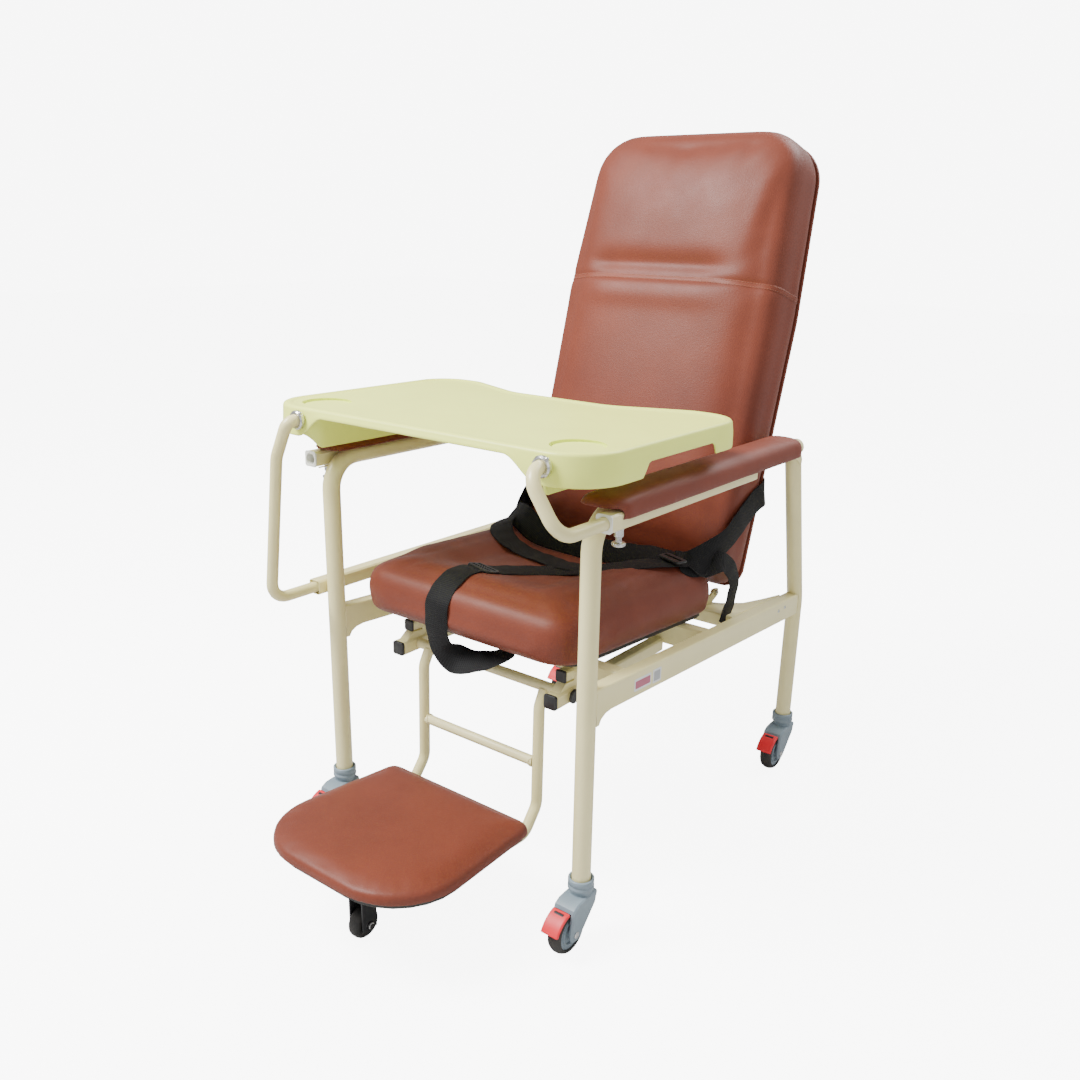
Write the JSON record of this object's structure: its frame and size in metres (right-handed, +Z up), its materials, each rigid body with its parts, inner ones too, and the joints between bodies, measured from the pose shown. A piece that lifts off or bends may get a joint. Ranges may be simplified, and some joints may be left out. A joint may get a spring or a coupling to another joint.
{
  "type": "patient recliner chair",
  "caption": "Wheeled patient recliner with padded seat, reclining back, armrests, slide-in meal tray, drop-down footrest with its own wheel, braked casters and a lap harness.",
  "frame": {"origin": "centre of the chair's footprint box, on the floor", "axes": "+Z up; -Y the way the occupant faces; +X the occupant's left"},
  "size_m": [0.666, 1.1351, 1.272],
  "materials": {
    "powder_coat": "satin",
    "vinyl": "satin",
    "tray_plastic": "satin",
    "caster_plastic": "satin",
    "pedal_plastic": "gloss",
    "black_plastic": "satin",
    "white_plastic": "satin",
    "tyre_rubber": "matte",
    "plated_steel": "polished",
    "black_board": "matte",
    "webbing": "matte"
  },
  "bodies": {
    "frame": {"side_tube_left": "powder_coat", "side_tube_right": "powder_coat", "rear_leg_left": "powder_coat", "rear_leg_right": "powder_coat", "seat_rail_left": "powder_coat", "seat_rail_right": "powder_coat", "front_cross_member": "powder_coat", "middle_cross_member": "powder_coat", "rear_cross_member": "powder_coat", "footrest_carrier_left": "powder_coat", "footrest_carrier_right": "powder_coat", "carrier_cap_left": "black_plastic", "carrier_cap_right": "black_plastic", "arm_socket_left": "powder_coat", "arm_socket_right": "powder_coat", "socket_bush_left": "white_plastic", "socket_bush_right": "white_plastic", "lower_socket_right": "powder_coat", "seat_board": "black_board", "seat_cushion": "vinyl", "armrest_pad_left": "vinyl", "armrest_pad_right": "vinyl", "crotch_strap": "webbing", "belt_buckle": "black_plastic", "lap_belt": "webbing"},
    "backrest": {"backrest_board": "black_board", "backrest_cushion": "vinyl", "back_strap_left": "webbing", "back_strap_right": "webbing"},
    "spring_cylinder": {"gas_spring_cylinder": "black_plastic"},
    "spring_rod": {"gas_spring_rod": "plated_steel"},
    "footrest": {"footrest_crossbar": "powder_coat", "crossbar_cap_left": "black_plastic", "crossbar_cap_right": "black_plastic", "footrest_upright_left": "powder_coat", "footrest_upright_right": "powder_coat", "footrest_rung": "powder_coat", "footplate_board": "black_board", "footplate_pad": "vinyl", "foot_wheel_bracket": "black_plastic"},
    "footrest_wheel": {"foot_wheel": "tyre_rubber"},
    "tray": {"tray_top": "tray_plastic", "tray_arm_left": "powder_coat", "tray_arm_right": "powder_coat", "tray_clamp_left": "plated_steel", "tray_clamp_right": "plated_steel"},
    "plunger_left": {"lock_plunger_left": "plated_steel"},
    "plunger_right": {"lock_plunger_right": "plated_steel"},
    "caster_front_left": {"caster_fork_front_left": "caster_plastic"},
    "caster_front_right": {"caster_fork_front_right": "caster_plastic"},
    "caster_rear_left": {"caster_fork_rear_left": "caster_plastic"},
    "caster_rear_right": {"caster_fork_rear_right": "caster_plastic"},
    "wheel_front_left": {"caster_wheel_front_left": "tyre_rubber"},
    "wheel_front_right": {"caster_wheel_front_right": "tyre_rubber"},
    "wheel_rear_left": {"caster_wheel_rear_left": "tyre_rubber"},
    "wheel_rear_right": {"caster_wheel_rear_right": "tyre_rubber"},
    "pedal_front_left": {"brake_pedal_front_left": "pedal_plastic"},
    "pedal_front_right": {"brake_pedal_front_right": "pedal_plastic"},
    "pedal_rear_left": {"brake_pedal_rear_left": "pedal_plastic"},
    "pedal_rear_right": {"brake_pedal_rear_right": "pedal_plastic"}
  },
  "joints": [
    {"name": "backrest_recline", "type": "hinge", "parent": "frame", "child": "backrest", "pos_m": [0, 0.2935, 0.418], "axis": [-1, 0, 0], "range_deg": [0, 35]},
    {"name": "spring_swing", "type": "hinge", "parent": "frame", "child": "spring_cylinder", "pos_m": [0, 0.0685, 0.343], "axis": [-1, 0, 0], "range_deg": [0, 0.9]},
    {"name": "spring_stroke", "type": "slide", "parent": "spring_cylinder", "child": "spring_rod", "axis": [0, -0.9997, 0.0242], "range_m": [0, 0.0515]},
    {"name": "footrest_swing", "type": "hinge", "parent": "frame", "child": "footrest", "pos_m": [0, -0.1715, 0.3675], "axis": [-1, 0, 0], "range_deg": [0, 65]},
    {"name": "footrest_wheel_roll", "type": "hinge", "parent": "footrest", "child": "footrest_wheel", "pos_m": [0, -0.4745, 0.026], "axis": [1, 0, 0], "continuous": true},
    {"name": "tray_slide", "type": "slide", "parent": "frame", "child": "tray", "axis": [0, -0.9999, 0.014], "range_m": [0, 0.1]},
    {"name": "plunger_left_pull", "type": "slide", "parent": "frame", "child": "plunger_left", "axis": [0, 0, -1], "range_m": [0, 0.006], "stiffness_N_per_m": 500, "springref_m": -0.004},
    {"name": "plunger_right_pull", "type": "slide", "parent": "frame", "child": "plunger_right", "axis": [0, 0, -1], "range_m": [0, 0.006], "stiffness_N_per_m": 500, "springref_m": -0.004},
    {"name": "caster_front_left_swivel", "type": "hinge", "parent": "frame", "child": "caster_front_left", "pos_m": [0.275, -0.2615, 0.1], "axis": [0, 0, 1], "continuous": true},
    {"name": "caster_front_right_swivel", "type": "hinge", "parent": "frame", "child": "caster_front_right", "pos_m": [-0.275, -0.2615, 0.1], "axis": [0, 0, 1], "continuous": true},
    {"name": "caster_rear_left_swivel", "type": "hinge", "parent": "frame", "child": "caster_rear_left", "pos_m": [0.275, 0.4765, 0.1], "axis": [0, 0, 1], "continuous": true},
    {"name": "caster_rear_right_swivel", "type": "hinge", "parent": "frame", "child": "caster_rear_right", "pos_m": [-0.275, 0.4765, 0.1], "axis": [0, 0, 1], "continuous": true},
    {"name": "wheel_front_left_roll", "type": "hinge", "parent": "caster_front_left", "child": "wheel_front_left", "pos_m": [0.275, -0.2995, 0.0375], "axis": [1, 0, 0], "continuous": true},
    {"name": "wheel_front_right_roll", "type": "hinge", "parent": "caster_front_right", "child": "wheel_front_right", "pos_m": [-0.275, -0.2995, 0.0375], "axis": [1, 0, 0], "continuous": true},
    {"name": "wheel_rear_left_roll", "type": "hinge", "parent": "caster_rear_left", "child": "wheel_rear_left", "pos_m": [0.275, 0.4385, 0.0375], "axis": [1, 0, 0], "continuous": true},
    {"name": "wheel_rear_right_roll", "type": "hinge", "parent": "caster_rear_right", "child": "wheel_rear_right", "pos_m": [-0.275, 0.4385, 0.0375], "axis": [1, 0, 0], "continuous": true},
    {"name": "pedal_front_left_press", "type": "hinge", "parent": "caster_front_left", "child": "pedal_front_left", "pos_m": [0.275, -0.308, 0.0811], "axis": [1, 0, 0], "range_deg": [0, 5]},
    {"name": "pedal_front_right_press", "type": "hinge", "parent": "caster_front_right", "child": "pedal_front_right", "pos_m": [-0.275, -0.308, 0.0811], "axis": [1, 0, 0], "range_deg": [0, 5]},
    {"name": "pedal_rear_left_press", "type": "hinge", "parent": "caster_rear_left", "child": "pedal_rear_left", "pos_m": [0.275, 0.43, 0.0811], "axis": [1, 0, 0], "range_deg": [0, 5]},
    {"name": "pedal_rear_right_press", "type": "hinge", "parent": "caster_rear_right", "child": "pedal_rear_right", "pos_m": [-0.275, 0.43, 0.0811], "axis": [1, 0, 0], "range_deg": [0, 5]}
  ],
  "couplings": [
    {"joint": "spring_swing", "follows": "backrest_recline", "ratio": 0.0229},
    {"joint": "spring_stroke", "follows": "backrest_recline", "m_per_rad": 0.08365}
  ]
}
